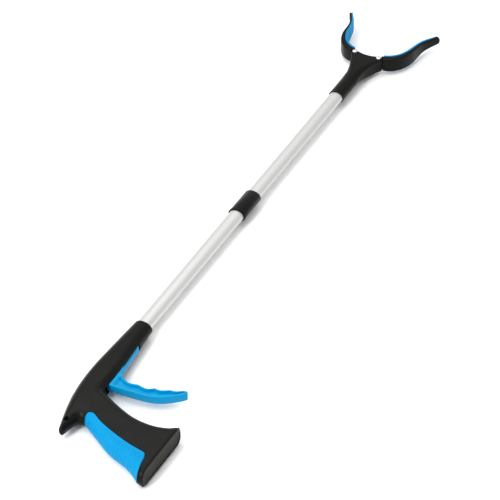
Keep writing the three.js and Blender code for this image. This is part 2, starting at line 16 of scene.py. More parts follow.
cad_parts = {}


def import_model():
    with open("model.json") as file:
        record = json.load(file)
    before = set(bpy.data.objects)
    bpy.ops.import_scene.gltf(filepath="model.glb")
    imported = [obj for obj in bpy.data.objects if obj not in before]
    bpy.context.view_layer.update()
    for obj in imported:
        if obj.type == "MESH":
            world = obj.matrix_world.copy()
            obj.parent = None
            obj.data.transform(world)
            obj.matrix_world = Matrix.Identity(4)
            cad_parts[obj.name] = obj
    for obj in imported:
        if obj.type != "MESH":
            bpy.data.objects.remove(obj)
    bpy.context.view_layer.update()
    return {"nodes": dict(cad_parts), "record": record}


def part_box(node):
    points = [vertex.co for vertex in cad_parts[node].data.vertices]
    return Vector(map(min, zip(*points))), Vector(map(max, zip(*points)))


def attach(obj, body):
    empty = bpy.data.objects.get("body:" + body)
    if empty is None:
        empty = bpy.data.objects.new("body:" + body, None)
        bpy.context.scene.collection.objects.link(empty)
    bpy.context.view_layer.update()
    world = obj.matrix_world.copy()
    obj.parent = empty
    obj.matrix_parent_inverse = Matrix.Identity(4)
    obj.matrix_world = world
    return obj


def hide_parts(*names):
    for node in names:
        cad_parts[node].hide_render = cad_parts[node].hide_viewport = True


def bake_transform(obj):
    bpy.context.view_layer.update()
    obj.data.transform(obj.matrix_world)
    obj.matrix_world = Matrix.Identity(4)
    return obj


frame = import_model()

# ---------------------------------------------------------------- driving dimensions (mm)

# Handle
BARREL_CENTRE_Y = -0.85
MOUTH_HALF = (11.1, 8.7)      # barrel mouth: half height in Y, half thickness in Z
BARREL_HALF_Z = 11
GRIP_HALF_Z = 12.2
NOSE_HALF_Z = 7.4
BASE_X = (-221.5, -135)       # rear and front of the grip's end
SHELL_END_Y = -117.5
CAP_END_Y = -119.5
SEAM = 0.12                   # half the gap between two moulded halves
HANG_HOLE = (-176, -4.5)
HANG_HOLE_RADIUS = 3
SCREW_HEAD_RADIUS = 2.7

# Grip pad
PAD_DEPTH = 2                 # how deep the pad sits in the grip
PAD_RISE = 0.5
RIB_PITCH = 4.2
RIB_DEPTH = 0.85
GRIP_AXIS = (-0.42, -0.91)    # down the back of the grip

# Trigger and rod
TRIGGER_PIVOT = (-37, -10)
TRIGGER_HALF_Z = 5
ARM_HALF_Z = 3.9              # the trigger's arm, under the barrel
TRIGGER_TRAVEL = 20           # degrees
CAM_PIN_X = -56
STROKE = 7                    # travel of the rod

# Shaft
LOWER_OVAL = (8.8, 6.7)
UPPER_OVAL = (8.3, 6.3)
COLLAR_OVAL = (10.2, 7.7)
TUBE_WALL = 1.2
TUBE_FIT = 0.15               # gap round a tube where it sits in a moulding
LOWER_TUBE_X = (-31, 239)
UPPER_TUBE_X = (239.3, 497)
COLLAR_X = (218.8, 259.2)
REAR_PIN = (-17, 5)           # cross pins that hold the tubes
FRONT_PIN = (482, 5)
TUBE_PIN_RADIUS = 1.25

# Head and jaws
NECK_X = 468.3
NECK_OVAL = (9.4, 7.7)
HEAD_HALF_Z = 8.7
HEAD_ROOM_HALF_Z = 6
JAW_PIVOT = (548.7, 15.3)
RIVET_RADIUS = 1.5
JAW_HALF_Z = (8.7, 4.8)       # at the root and at the tip
LINING_THICKNESS = 2.3
PEG = (545.1, 2.6)

# Meshes
THINNEST = 0.04               # keeps the two sides of a solid apart where they meet at a rounded edge
ROUND_ROWS = tuple(1 - math.cos(math.radians(a)) for a in (8, 17, 26, 35, 44, 53, 62, 71, 81, 90))
THROUGH = 20                  # half length of a cutter that goes right through

# The tool's own origin in the row frame, found from the lower tube, whose place is known.
tube_low, tube_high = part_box("lower_tube")
ORIGIN = Vector((
    tube_low.x - LOWER_TUBE_X[0] / 1000,
    (tube_low.y + tube_high.y) / 2,
    (tube_low.z + tube_high.z) / 2,
))


def place(point):
    """A point in tool millimetres as a row-frame vector in metres."""
    return Vector(point) / 1000 + ORIGIN


# ---------------------------------------------------------------- outlines

def smooth(value, start, end):
    t = np.clip((np.asarray(value, float) - start) / (end - start), 0, 1)
    return t * t * (3 - 2 * t)


def lerp(a, b, t):
    return a + (b - a) * t


def catmull(points, per_span=12):
    """A smooth open curve through the points."""
    pts = np.array(points, float)
    ends = np.vstack([pts[:1], pts, pts[-1:]])
    curve = []
    for p0, p1, p2, p3 in zip(ends, ends[1:], ends[2:], ends[3:]):
        v1, v2 = (p2 - p0) / 2, (p3 - p1) / 2
        for t in np.arange(per_span) / per_span:
            curve.append(
                (2 * p1 - 2 * p2 + v1 + v2) * t**3 + (-3 * p1 + 3 * p2 - 2 * v1 - v2) * t**2 + v1 * t + p1
            )
    return np.vstack([curve, pts[-1:]])


def arc(centre, radius, start, end, steps=16):
    angles = np.radians(np.linspace(start, end, steps + 1))
    return np.c_[centre[0] + radius * np.cos(angles), centre[1] + radius * np.sin(angles)]


def resample(points, step):
    """The same open line with evenly spaced points."""
    pts = np.asarray(points, float)
    along = np.r_[0, np.cumsum(np.linalg.norm(np.diff(pts, axis=0), axis=1))]
    stations = np.linspace(0, along[-1], max(2, int(round(along[-1] / step)) + 1))
    return np.c_[np.interp(stations, along, pts[:, 0]), np.interp(stations, along, pts[:, 1])]


def chain(stretches, step):
    """Joins stretches end to end, each resampled, into one line with its corners kept."""
    lines = [resample(s, step) for s in stretches]
    parts = [lines[0]]
    for line in lines[1:]:
        touches = np.linalg.norm(line[0] - parts[-1][-1]) < 1e-6
        parts.append(line[1:] if touches else line)
    return np.vstack(parts)


def directions(line):
    """Unit vectors along an open line."""
    steps = np.gradient(line, axis=0)
    return steps / np.linalg.norm(steps, axis=1)[:, None]


def left_of(line):
    """Unit vectors square to an open line, on its left."""
    along = directions(line)
    return np.c_[-along[:, 1], along[:, 0]]


def mirror_y(points):
    return (np.asarray(points, float) * (1, -1))[::-1]


def distance_to(points, line):
    """Distance from each point to an open line."""
    a, b = line[:-1], line[1:]
    span = b - a
    length2 = np.maximum((span**2).sum(1), 1e-12)
    best = np.full(len(points), 1e9)
    for start in range(0, len(points), 2000):
        p = points[start:start + 2000, None, :]
        t = np.clip(((p - a) * span).sum(2) / length2, 0, 1)
        gap = p - (a + t[..., None] * span)
        best[start:start + 2000] = np.sqrt((gap**2).sum(2)).min(1)
    return best


def inside(points, polygon):
    """True for each point within the closed polygon."""
    x, y = points[:, :1], points[:, 1:]
    a, b = polygon, np.roll(polygon, -1, axis=0)
    crosses = (a[:, 1] > y) != (b[:, 1] > y)
    rise = np.where(b[:, 1] == a[:, 1], 1e-12, b[:, 1] - a[:, 1])
    hit = crosses & (x < (b[:, 0] - a[:, 0]) * (y - a[:, 1]) / rise + a[:, 0])
    return hit.sum(1) % 2 == 1


# ---------------------------------------------------------------- meshes

def make_object(name, mesh):
    piece = bpy.data.objects.new(name, mesh)
    bpy.context.scene.collection.objects.link(piece)
    return piece


def mesh_object(name, vertices, faces):
    """A closed mesh from tool-millimetre vertices, placed on the frame, with its normals facing out."""
    mesh = bpy.data.meshes.new(name)
    mesh.from_pydata([place(v) for v in vertices], [], [list(map(int, f)) for f in faces])
    bm = bmesh.new()
    bm.from_mesh(mesh)
    bmesh.ops.remove_doubles(bm, verts=bm.verts, dist=2e-6)
    bmesh.ops.dissolve_degenerate(bm, dist=1e-7, edges=bm.edges)
    bmesh.ops.recalc_face_normals(bm, faces=bm.faces)
    if bm.calc_volume(signed=True) < 0:
        bmesh.ops.reverse_faces(bm, faces=bm.faces)
    bm.to_mesh(mesh)
    bm.free()
    return make_object(name, mesh)


def shade(piece, angle=32):
    """Smooth shading with edges sharper than the angle kept crisp."""
    piece.data.polygons.foreach_set("use_smooth", [True] * len(piece.data.polygons))
    piece.data.set_sharp_from_angle(angle=math.radians(angle))
    return piece


def apply_modifiers(piece):
    graph = bpy.context.evaluated_depsgraph_get()
    mesh = bpy.data.meshes.new_from_object(piece.evaluated_get(graph))
    piece.modifiers.clear()
    piece.data = mesh
    return piece


def mirror_piece(piece, axis):
    """Mirrors a piece in the tool's middle plane that is square to the axis: 1 for Y, 2 for Z."""
    for vertex in piece.data.vertices:
        vertex.co[axis] = 2 * ORIGIN[axis] - vertex.co[axis]
    piece.data.flip_normals()
    return piece


def combine(piece, others, operation):
    """Joins the others to the piece or cuts them from it, and removes them."""
    for other in others:
        modifier = piece.modifiers.new(operation, "BOOLEAN")
        modifier.operation = operation
        modifier.solver = "MANIFOLD"
        modifier.object = other
        other.hide_render = True
    apply_modifiers(piece)
    for other in others:
        bpy.data.objects.remove(other)
    return piece


def side_rows(side, sides, boundary, depths, radius_at):
    """Rows of points along a rounded side, at shares of the rounding radius inside the outline."""
    normal = left_of(side)
    if inside(side + normal * 0.05, boundary).mean() < 0.5:
        normal = -normal
    rows = []
    for share in depths:
        depth = share * radius_at(*side.T)
        row = side + normal * depth[:, None]
        near = np.min([distance_to(row, s) for s in sides], axis=0)
        rows.append(row[(near > depth * 0.97 - 1e-3) & inside(row, boundary)])
    return rows


def lattice_in(boundary, grid, angle):
    """A turned lattice of staggered points that covers the outline, without the points outside it."""
    low, high = boundary.min(0), boundary.max(0)
    centre, reach = (low + high) / 2, np.linalg.norm(high - low) / 2
    u, v = np.meshgrid(np.arange(-reach, reach, grid[0]), np.arange(-reach, reach, grid[1]))
    v = v + (np.arange(u.shape[1]) % 2)[None, :] * grid[1] / 2
    c, s = math.cos(angle), math.sin(angle)
    lattice = np.c_[(u * c - v * s).ravel(), (u * s + v * c).ravel()] + centre
    return lattice[inside(lattice, boundary)]


def fill(boundary, sides, depths, radius_at, grid, angle=0, inner_lines=(), margin=None):
    """Fills a flat outline with triangles over the outline, rows of points along its rounded sides, any inner
    lines, and a lattice that keeps its margin from the outline. Returns points, faces and depths."""
    rows = [boundary]
    for side in sides:
        rows += side_rows(side, sides, boundary, depths, radius_at)
    lattice = lattice_in(boundary, grid, angle)
    near = np.min([distance_to(lattice, side) for side in sides], axis=0)
    lattice = lattice[near > max(depths) * radius_at(*lattice.T) + 0.3 * min(grid)]
    edge_gap = distance_to(lattice, np.vstack([boundary, boundary[:1]]))
    rows.append(lattice[edge_gap > (margin or 0.35 * min(grid))])
    rows += [line[inside(line, boundary)] for line in inner_lines]
    count = len(boundary)
    loop = [(i, (i + 1) % count) for i in range(count)]
    verts, _, faces, _, _, _ = delaunay_2d_cdt([Vector(p) for p in np.vstack(rows)], loop, [], 1, 1e-4)
    points = np.array([tuple(v) for v in verts])
    depth = np.min([distance_to(points, side) for side in sides], axis=0)
    return points, faces, depth


def between(name, points, faces, top, bottom):
    """The closed solid over flat triangles, from the bottom heights up to the top heights."""
    count = len(points)
    vertices = np.vstack([np.c_[points, np.maximum(top, bottom + THINNEST)], np.c_[points, bottom]])
    edges = [edge for face in faces for edge in zip(face, face[1:] + face[:1])]
    known = set(edges)
    rim = [(a, b) for a, b in edges if (b, a) not in known]
    solids = [list(f) for f in faces]
    solids += [[i + count for i in reversed(f)] for f in faces]
    solids += [[b, a, a + count, b + count] for a, b in rim]
    return mesh_object(name, vertices, solids)


def rounded(depth, radius, height, drop=None):
    """Height at a depth inside an edge: an elliptical rounding down by drop (the whole height if None)."""
    drop = height if drop is None else drop
    t = 1 - np.clip(depth / radius, 0, 1)
    return height - drop + drop * np.sqrt(np.maximum(1 - t * t, 0))


def prism(name, outline, z_low, z_high):
    """A plain flat plate, for cutting and joining."""
    points = np.asarray(outline, float)
    count = len(points)
    vertices = np.vstack([np.c_[points, np.full(count, z_low)], np.c_[points, np.full(count, z_high)]])
    faces = [list(range(count)), list(range(count, 2 * count))]
    faces += [[i, (i + 1) % count, (i + 1) % count + count, i + count] for i in range(count)]
    return mesh_object(name, vertices, faces)


def loft(name, rings):
    """A closed skin over a row of rings that all have the same number of points."""
    rings = [np.asarray(r, float) for r in rings]
    n = len(rings[0])
    faces = [list(range(n)), list(range((len(rings) - 1) * n, len(rings) * n))]
    for k in range(len(rings) - 1):
        for i in range(n):
            j = (i + 1) % n
            faces.append([k * n + i, k * n + j, (k + 1) * n + j, (k + 1) * n + i])
    return mesh_object(name, np.vstack(rings), faces)


def grown(oval, gap):
    return oval[0] + gap, oval[1] + gap


def oval_ring(x, half_y, half_z, segments=96):
    t = np.linspace(0, 2 * math.pi, segments, endpoint=False)
    return np.c_[np.full(segments, x), half_y * np.cos(t), half_z * np.sin(t)]


def oval_bar(name, oval, x_range):
    return loft(name, [oval_ring(x, *oval) for x in x_range])


def oval_tube(name, stations):
    """A tube from (x, half_y, half_z) stations that run along the outside and back along the inside."""
    rings = [oval_ring(*s) for s in stations]
    n = len(rings[0])
    faces = []
    for k in range(len(rings)):
        after = (k + 1) % len(rings)
        for i in range(n):
            j = (i + 1) % n
            faces.append([k * n + i, k * n + j, after * n + j, after * n + i])
    return mesh_object(name, np.vstack(rings), faces)


def turned_part(name, profile, centre, segments=40):
    """A solid of revolution about a Z line through the centre, from (radius, z) points."""
    t = np.linspace(0, 2 * math.pi, segments, endpoint=False)
    x, y = centre
    rings = []
    for radius, z in profile:
        reach = max(radius, 1e-3)
        rings.append(np.c_[x + reach * np.cos(t), y + reach * np.sin(t), np.full(segments, z)])
    return loft(name, rings)


def post(name, centre, radius, z_low, z_high):
    return turned_part(name, [(radius, z_low), (radius, z_high)], centre)


def bore_through(name, centre, radius):
    return post(name, centre, radius, -THROUGH, THROUGH)


# ---------------------------------------------------------------- materials

def procedural(
    name, colour, roughness, metallic=0.0, grain=900, depth=0.15, stretch=(1, 1, 1), worn=0.9, shine=0.3,
):
    """A material with a fine surface grain, uneven roughness and slightly worn patches."""
    mat = bpy.data.materials.new(name)
    mat.use_nodes = True
    nodes, links = mat.node_tree.nodes, mat.node_tree.links
    bsdf = nodes["Principled BSDF"]
    bsdf.inputs["Metallic"].default_value = metallic
    bsdf.inputs["Specular IOR Level"].default_value = shine
    coords = nodes.new("ShaderNodeTexCoord")
    mapping = nodes.new("ShaderNodeMapping")
    mapping.inputs["Scale"].default_value = stretch
    links.new(coords.outputs["Object"], mapping.inputs["Vector"])

    def noise(scale, detail):
        node = nodes.new("ShaderNodeTexNoise")
        node.inputs["Scale"].default_value = scale
        node.inputs["Detail"].default_value = detail
        links.new(mapping.outputs["Vector"], node.inputs["Vector"])
        return node.outputs["Fac"]

    patches, fine = noise(38, 5), noise(grain, 3)
    spread = nodes.new("ShaderNodeMapRange")
    spread.inputs["From Min"].default_value = 0.35
    spread.inputs["From Max"].default_value = 0.65
    spread.inputs["To Min"].default_value = roughness - 0.05
    spread.inputs["To Max"].default_value = roughness + 0.07
    links.new(patches, spread.inputs["Value"])
    links.new(spread.outputs["Result"], bsdf.inputs["Roughness"])
    mix = nodes.new("ShaderNodeMix")
    mix.data_type = "RGBA"
    mix.inputs["A"].default_value = (*colour, 1)
    mix.inputs["B"].default_value = (*(c * worn for c in colour), 1)
    links.new(patches, mix.inputs["Factor"])
    links.new(mix.outputs["Result"], bsdf.inputs["Base Color"])
    bump = nodes.new("ShaderNodeBump")
    bump.inputs["Strength"].default_value = depth
    bump.inputs["Distance"].default_value = 0.0002
    links.new(fine, bump.inputs["Height"])
    links.new(bump.outputs["Normal"], bsdf.inputs["Normal"])
    return mat


BLACK = procedural("black_plastic", (0.004, 0.004, 0.0035), 0.3, depth=0.12, shine=0.1)
# The base cap's panel: black plastic painted lighter and warmer, a painted highlight standing for direct
# light on the grip's end face.
CAP_PANEL_PAINTED_LIGHT = procedural("cap_panel_painted_light", (0.018, 0.017, 0.012), 0.5, depth=0.3, shine=0.1)
BLUE = procedural("blue_plastic", (0.0, 0.25, 0.5), 0.3, depth=0.06, shine=0.12)
BLUE_SOFT = procedural("blue_rubber", (0.0, 0.23, 0.48), 0.5, grain=1400, depth=0.2, shine=0.08)
WHITE = procedural("white_plastic", (0.75, 0.75, 0.72), 0.45)
ALUMINIUM = procedural(
    "tube_aluminium", (0.6, 0.605, 0.59), 0.42,
    metallic=0.75, grain=260, depth=0.08, stretch=(0.06, 1, 1), worn=0.96,
)
STEEL = procedural("steel", (0.72, 0.73, 0.73), 0.25, metallic=1.0, grain=500, depth=0.06)
SLOTS = {
    "black_plastic": BLACK, "blue_plastic": BLUE, "blue_rubber": BLUE_SOFT, "white_plastic": WHITE,
    "tube_aluminium": ALUMINIUM, "steel": STEEL,
}


def finish_piece(piece, body, slot_name, *replaced, angle=32):
    """Shades the piece, gives it its material and hangs it on its body in place of the CAD nodes."""
    shade(piece, angle)
    piece.data.materials.clear()
    piece.data.materials.append(SLOTS[slot_name])
    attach(piece, body)
    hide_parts(*replaced)
    return piece


# ---------------------------------------------------------------- handle

def handle_half_z(x, y):
    barrel = lerp(MOUTH_HALF[1], BARREL_HALF_Z, smooth(x, 0, -95))
    grip = (GRIP_HALF_Z - BARREL_HALF_Z) * smooth(y, -20, CAP_END_Y)
    nose = (BARREL_HALF_Z - NOSE_HALF_Z) * smooth(x, -148, -190) * smooth(y, -24, -12)
    return barrel + grip - nose


def handle_rounding(x, y):
    """Width of the rounded band along the handle's edges."""
    nose = 4.5 * smooth(x, -150, -186) * smooth(y, -24, -12)
    return lerp(MOUTH_HALF[0], 10, smooth(x, 0, -95)) - nose + 1.5 * smooth(y, -60, SHELL_END_Y)


GRIP_BACK = [(-165.5, -21), (-179, -41), (-193.5, -63), (-203, -86), (-211, -100), (BASE_X[0], -113)]


def handle_sides(step=1.6):
    """The handle's two long rounded sides, from the mouth round to the base, each run on past its end."""
    top, under = BARREL_CENTRE_Y + MOUTH_HALF[0], BARREL_CENTRE_Y - MOUTH_HALF[0]
    tip = arc((-187.2, -5.4), 3.3, 106, 260)
    back = chain([
        [(14, top), (0, top)],
        catmull([(0, top), (-45, 12.7), (-95, 14.1), (-132, 11.3), (-160, 5.8), tuple(tip[0])]),
        tip,
        catmull([tuple(tip[-1]), (-176, -10.8), (-166.5, -14), (-165.5, -21)]),
        catmull(GRIP_BACK),
        [(BASE_X[0], -113), (BASE_X[0], -135)],
    ], step)
    front = chain([
        [(BASE_X[1], -135), (BASE_X[1], -113.6)],
        catmull([
            (BASE_X[1], -113.6), (-140, -106), (-143.2, -90), (-140.9, -68.5), (-132, -46), (-123, -28.5),
            (-118, -18.8),
        ]),
        catmull([(-118, -18.8), (-112, -18), (-78, -17.6), (-37, -14.7), (0, under)]),
        [(0, under), (14, under)],
    ], step)
    return back, front


def clipped(line):
    """The part of a handle side between the mouth and the end of the shells."""
    line = np.asarray(line)
    return line[(line[:, 0] <= 1e-6) & (line[:, 1] >= SHELL_END_Y + 0.4)]


def handle_fill():
    """The handle's side view filled with triangles, shared by the shells, the pad's core and its seat."""
    sides = handle_sides()
    back, front = (clipped(side) for side in sides)
    end = resample([(BASE_X[0], SHELL_END_Y), (BASE_X[1], SHELL_END_Y)], 2.5)
    mouth = resample([front[-1], back[0]], 1.5)[1:-1]
    boundary = np.vstack([back, end, front, mouth])
    return fill(boundary, sides, ROUND_ROWS, handle_rounding, (3, 3))


HANDLE_FILL = handle_fill()


def handle_solid(name, bottom=None, growth=0.0, shift=0.0):
    """The solid handle, or its upper half down to the height of its bottom, grown in Z and shifted in X."""
    points, faces, depth = HANDLE_FILL
    x, y = points.T
    top = rounded(depth, handle_rounding(x, y), handle_half_z(x, y) + growth)
    low = -top if bottom is None else np.full(len(top), bottom)
    return between(name, points + (shift, 0), faces, top, low)


def pad_front(growth=0.0):
    """The pad's edge on the side of the grip, from its lower end round the front to its top end."""
    line = catmull([
        (-221, -112.8), (-207, -111), (-197, -109.4), (-191.2, -106.3), (-189.3, -100.5), (-185, -84),
        (-176.6, -62), (-166.6, -41), (-159.5, -30.5), (-158.2, -25.4), (-159.6, -21.8), (-163, -20.5),
    ])
    return resample(line - growth * left_of(line), 0.9)


def pad_core(name):
    """What the pad is wrapped on: the handle pulled in from its back and its sides."""
    return handle_solid(name, growth=-PAD_DEPTH, shift=PAD_DEPTH)


def pad_seat(name):
    """The space that the pad takes up in the shells."""
    outline = np.vstack([pad_front(0.35), [(-235, -20.15), (-235, -113.2)]])
    return combine(prism(name, outline, -THROUGH, THROUGH), [pad_core(name + "_core")], "DIFFERENCE")


def pad_rounding(x, y):
    return handle_rounding(x, y) + PAD_RISE


def grip_pad():
    """The ribbed soft pad round the back of the grip."""
    front = pad_front()
    back = resample(catmull(GRIP_BACK), 0.9)
    back = back[back[:, 1] > -112.5] - (PAD_RISE, 0)
    boundary = np.vstack([front, resample([front[-1], back[0]], 0.9)[1:], back[1:]])
    side = np.vstack([back[0] + (1, 12), back, back[-1] + (-4.5, -6)])
    across = math.atan2(GRIP_AXIS[1], GRIP_AXIS[0]) + math.pi / 2
    rim_rows = [pad_front(-inset) for inset in (0.15, 0.4, 0.8, 1.4)]
    points, faces, depth = fill(
        boundary, [side], ROUND_ROWS, pad_rounding, (1.4, 0.75), across, rim_rows, margin=1.9,
    )
    rim_line = np.vstack([front, [back[0]]])
    rim = distance_to(points, rim_line)
    edge = rounded(rim, 1.4, 1.5) - 1.0
    x, y = points.T
    top = rounded(depth, pad_rounding(x, y), handle_half_z(x, y) + edge)
    pad = between("grip_pad_skin", points, faces, top, -top)
    rib_pad(pad, rim_line)
    return combine(pad, [pad_core("pad_core")], "DIFFERENCE")


def rib_pad(pad, rim_line):
    """Sinks the grooves between the pad's cross ribs, leaving a smooth border."""
    mesh = pad.data
    for vertex, normal in [(v, v.normal.copy()) for v in mesh.vertices]:
        spot = (vertex.co - ORIGIN) * 1000
        flat = np.array([[spot.x, spot.y]])
        border = float(smooth(distance_to(flat, rim_line), 2.2, 4.2)[0])
        along = float(flat[0] @ np.array(GRIP_AXIS))
        groove = 0.5 - 0.5 * math.cos(2 * math.pi * along / RIB_PITCH)
        vertex.co -= normal * (RIB_DEPTH * border * groove**2 / 1000)


def box(name, x_low, x_high, y_low, y_high, half_z):
    return prism(name, [(x_low, y_low), (x_high, y_low), (x_high, y_high), (x_low, y_high)], -half_z, half_z)


def handle_cutters():
    """What is hollow in the handle: the tube's bore, the trigger's slots, and the rooms of rod and grip."""
    arm_slot = [(-31.6, -6), (-46, -6), (-75, -6.4), (-75, -30), (-60, -30), (-31.6, -22)]
    finger_slot = [(-68, -6.3), (-113.5, -7), (-113.5, -30), (-68, -30)]
    rod_room = [
        (-31.5, 6), (-31.5, -8), (-113, -9), (-146, -16), (-148, 1), (-128, 8), (-108, 11), (-92, 11),
        (-56, 10.6), (-46, 10), (-40, 7),
    ]
    grip_room = [(-126, -20), (-146, -20), (-160, -44), (-176, -70), (-186, -96), (-190, -112), (-150, -112),
                 (-156, -96), (-154, -72), (-146, -48)]
    return [
        prism("arm_slot", arm_slot, -ARM_HALF_Z - 0.4, ARM_HALF_Z + 0.4),
        prism("finger_slot", finger_slot, -TRIGGER_HALF_Z - 0.4, TRIGGER_HALF_Z + 0.4),
        prism("rod_room", rod_room, -5.4, 5.4),
        prism("grip_room", grip_room, -6.6, 6.6),
        box("pin_slot", -71, -47, -1.9, 1.9, 7.6),
        oval_bar("bore", grown(LOWER_OVAL, TUBE_FIT), (-34, 5)),
        bore_through("hang_hole", HANG_HOLE, HANG_HOLE_RADIUS),
        cap_block("cap_seat", 0.25),
    ]


def handle_shell(side):
    """One moulded half of the handle. The half that the tool lies on has the screws' seats."""
    shell = handle_solid("shell_right" if side > 0 else "shell_left", bottom=SEAM)
    cutters = handle_cutters() + [pad_seat("pad_seat")]
    if side < 0:
        mirror_piece(shell, 2)
        for number, (centre, z) in enumerate(screw_places(), 1):
            cutters.append(post(f"screw_seat_{number}", centre, SCREW_HEAD_RADIUS + 0.4, -THROUGH, z + 2.4))
    combine(shell, cutters, "DIFFERENCE")
    node = "handle_shell_right" if side > 0 else "handle_shell_left"
    return finish_piece(shell, "frame", "black_plastic", node)


def screw_places():
    """Centre of each handle screw and the height of its head's outer face, from the CAD."""
    places = []
    for number in range(1, 6):
        low, high = ((corner - ORIGIN) * 1000 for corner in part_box(f"handle_screw_{number}"))
        places.append((((low.x + high.x) / 2, (low.y + high.y) / 2), low.z))
    return places


def handle_screws():
    """The shells' screws, each with a cross recess in its domed head."""
    head = SCREW_HEAD_RADIUS
    profile = [
        (0, 0.1), (head - 0.6, 0.15), (head - 0.1, 0.5), (head, 1), (head, 1.8), (1.3, 1.9), (1.3, 12.6),
        (1, 13),
    ]
    for number, ((x, y), z) in enumerate(screw_places(), 1):
        screw = turned_part(f"screw_{number}", [(radius, z + rise) for radius, rise in profile], (x, y))
        recess = []
        for reach_x, reach_y in ((1.7, 0.35), (0.35, 1.7)):
            arm = box("recess", x - reach_x, x + reach_x, y - reach_y, y + reach_y, 1)
            arm.data.transform(Matrix.Translation((0, 0, z / 1000)))
            recess.append(arm)
        combine(screw, recess, "DIFFERENCE")
        finish_piece(screw, "frame", "steel", f"handle_screw_{number}")


def stadium(y, inset, steps=12):
    """A ring in the plane of the grip's end, with blunt round ends, drawn in from the base's edge."""
    half_z = GRIP_HALF_Z - 0.1 - inset
    bend = 10.5 - 0.8 * inset
    low, high = BASE_X[0] + inset + bend, BASE_X[1] - inset - bend
    angles = np.radians(np.linspace(-90, 90, steps + 1))
    reach = bend * np.cos(angles) ** 0.8
    rise = half_z * np.sign(np.sin(angles)) * np.abs(np.sin(angles)) ** 0.8
    ring = np.vstack([np.c_[high + reach, rise], np.c_[low - reach, -rise]])
    return np.c_[ring[:, 0], np.full(len(ring), y), ring[:, 1]]


def cap_block(name, gap=0.0):
    """The plug that the base cap holds in the grip."""
    return loft(name, [stadium(SHELL_END_Y - 1, 4 - gap), stadium(-114 + gap, 4 - gap)])


def base_cap():
    """The cap on the grip's end: a rounded rim round a sunk, duller panel, whose lighter, warmer colour is
    painted light standing for the lamp light on the end face.
    """
    panel_y = -118.9
    skin = [
        (SHELL_END_Y - SEAM, 4), (SHELL_END_Y - SEAM, 0.15), (SHELL_END_Y - 0.7, 0.1), (-118.6, 0.5),
        (-119.1, 1.3), (-119.4, 2.2), (CAP_END_Y, 3.1), (CAP_END_Y, 3.6), (-119.2, 3.9), (panel_y, 4.1),
        (panel_y, 7),
    ]
    rings = [stadium(-114, 4)] + [stadium(y, inset) for y, inset in skin]
    cap = finish_piece(loft("grip_base_cap", rings), "frame", "black_plastic", "base_cap")
    # The panel faces facing down the grip get the painted-light colour, lighter and warmer where direct light
    # falls on the end face.
    cap.data.materials.append(CAP_PANEL_PAINTED_LIGHT)
    panel_height = place((0, panel_y, 0)).y
    for face in cap.data.polygons:
        if face.normal.y < -0.9 and -1.5e-4 < face.center.y - panel_height < 2.5e-4:
            face.material_index = 1
    return cap


# ---------------------------------------------------------------- trigger

def cam_slot():
    """Outline of the slot that the rod's cross pin draws on the turning trigger."""
    pivot = np.array(TRIGGER_PIVOT, float)
    path = []
    for share in np.linspace(0, 1, 6):
        angle = math.radians(TRIGGER_TRAVEL * share)
        reach = np.array([CAM_PIN_X - STROKE * share, 0]) - pivot
        turn = np.array([[math.cos(angle), -math.sin(angle)], [math.sin(angle), math.cos(angle)]])
        path.append(pivot + turn @ reach)
    path = np.array(path)
    heading = np.degrees(math.atan2(*(path[-1] - path[0])[::-1]))
    half_width = 1.75
    shift = left_of(path) * half_width
    return np.vstack([
        path - shift,
        arc(path[-1], half_width, heading - 80, heading + 80, 8),
        (path + shift)[::-1],
        arc(path[0], half_width, heading + 100, heading + 260, 8),
    ])


def trigger_outline(step=0.9):
    """The trigger from the side: hub, arm with the cheeks for the rod, and scalloped finger."""
    return chain([
        arc(TRIGGER_PIVOT, 4.8, -90, 45, 10),
        [(TRIGGER_PIVOT[0], -6.6), (-49, -7.9), (-52, -2), (-53.4, 2.6), (-56, 3.9), (-59, 3.2), (-69, -6.5),
         (-72, -11.7), (-104.5, -13.5), (-105, -17)],
        catmull([(-105, -17), (-104.6, -42), (-102.8, -64), (-96.5, -80), (-84.5, -94.5)]),
        catmull([(-84.5, -94.5), (-80.5, -97.3), (-77.6, -95.8), (-78, -91.5)]),
        catmull([(-78, -91.5), (-82.5, -84.5), (-83, -79)]),
        catmull([(-83, -79), (-88.2, -69.5), (-87.8, -62.5)]),
        catmull([(-87.8, -62.5), (-92.4, -55), (-90.6, -44.5)]),
        catmull([(-90.6, -44.5), (-92.2, -33), (-85, -21.4), (-75, -18.1)]),
        [(-75, -18.1), (TRIGGER_PIVOT[0], -14.8)],
    ], step)


def trigger():
    """The trigger with rounded edges and a raised rim round a sunk web on each side."""
    rim_width, wall, sunk = 2.3, 0.6, 3.0
    boundary = trigger_outline()[:-1]
    side = np.vstack([boundary, boundary[:1]])
    rows = (0.25, 0.6, 1.1, 1.7, 2.3, 2.5, 2.7, 2.9, 3.6)
    points, faces, depth = fill(boundary, [side], rows, lambda x, _: np.ones_like(x), (2, 2))
    below = smooth(points[:, 1], -19.5, -22.5)
    web = sunk * smooth(depth, rim_width, rim_width + wall) * below
    half_z = lerp(TRIGGER_HALF_Z, ARM_HALF_Z, smooth(points[:, 0], -75, -69))
    top = rounded(depth, 1.1, half_z, 1.1) - web
    piece = between("finger_trigger", points, faces, top, -top)
    combine(piece, [
        box("fork", -77, -46, -14.2, 10, 2.4),
        prism("cam", cam_slot(), -THROUGH, THROUGH),
        bore_through("pin_bore", TRIGGER_PIVOT, 1.8),
    ], "DIFFERENCE")
    return finish_piece(piece, "trigger_body", "blue_plastic", "trigger", angle=40)


# ---------------------------------------------------------------- shaft

